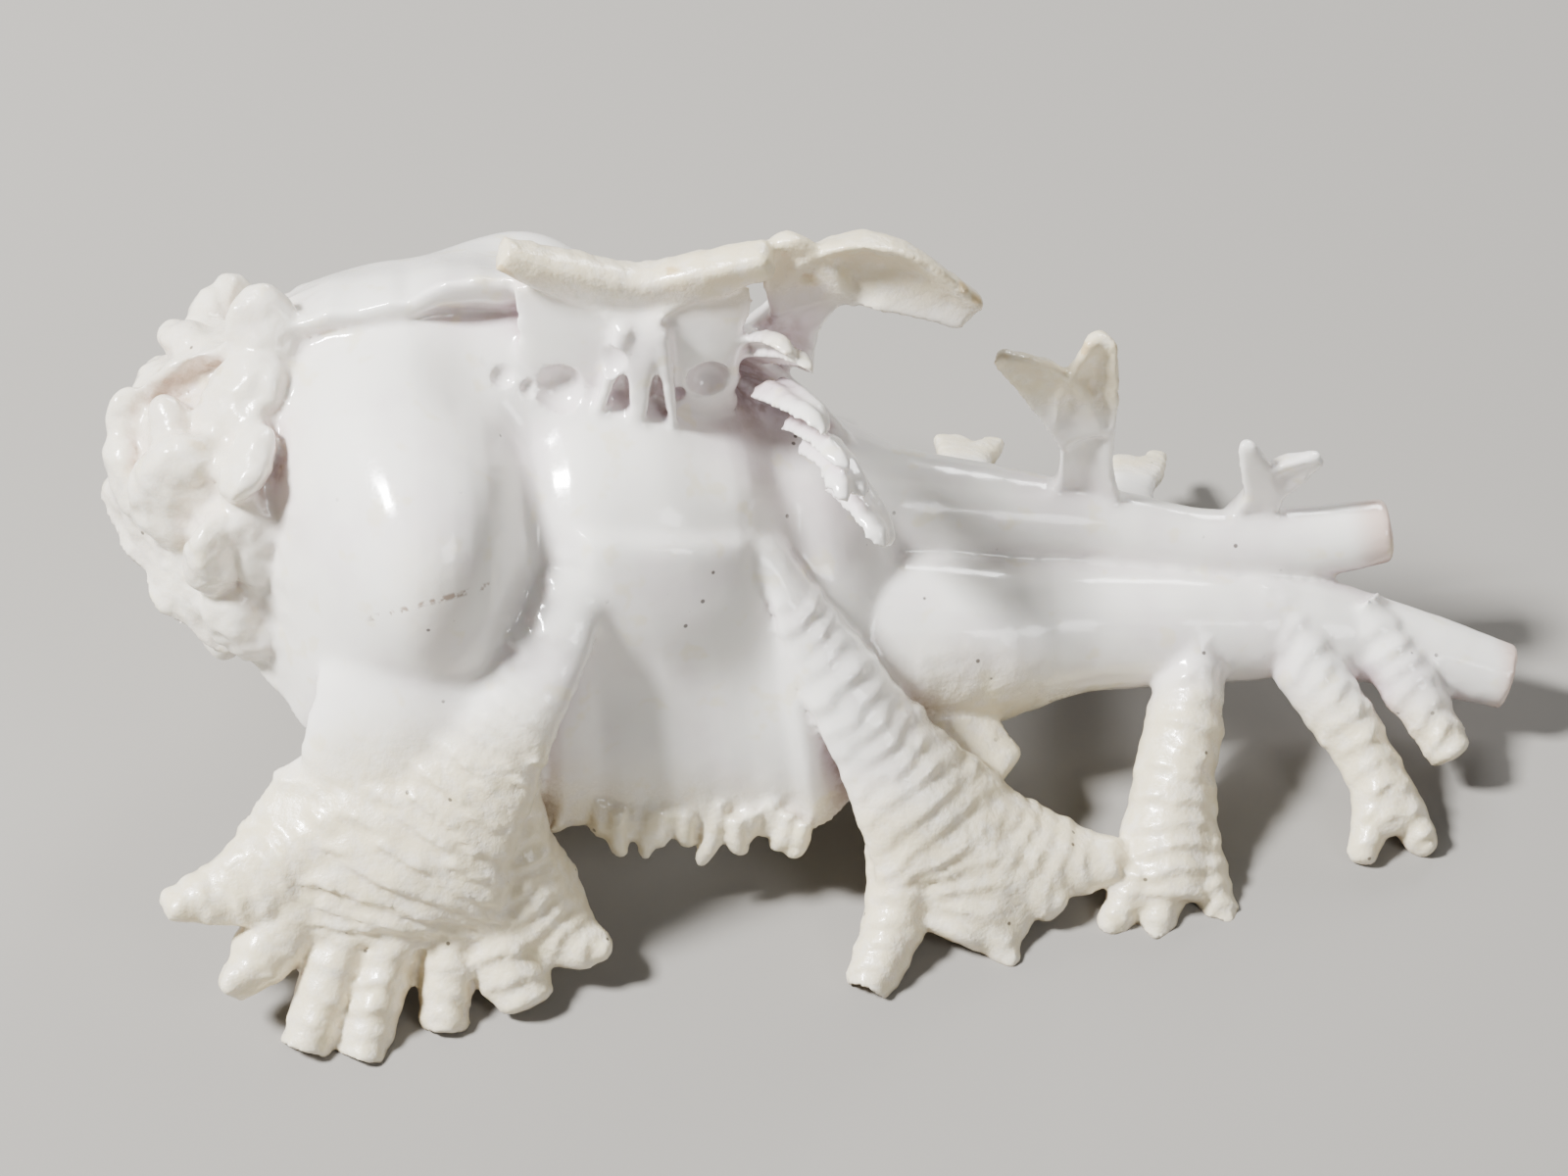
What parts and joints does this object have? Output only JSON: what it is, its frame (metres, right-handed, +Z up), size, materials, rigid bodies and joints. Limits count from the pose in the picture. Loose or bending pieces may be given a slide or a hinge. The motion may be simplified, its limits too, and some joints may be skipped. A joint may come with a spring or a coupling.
{
  "type": "murex shell",
  "caption": "White spiral sea shell with frilled, branching fronds on three ridges, a knobbly spire, an oval mouth and a long slender canal.",
  "frame": {"origin": "middle of the shell's bounding box, at the level of the surface it lies on", "axes": "+X from the spire to the tip of the siphonal canal, +Z up, as the shell rests on its frond tips"},
  "size_m": [0.052, 0.0374, 0.0233],
  "materials": {
    "shell": "glossy natural porcelain-like shell, satin and creamy on the fronds"
  },
  "bodies": {
    "root": {"murex_shell": "shell"}
  },
  "joints": []
}
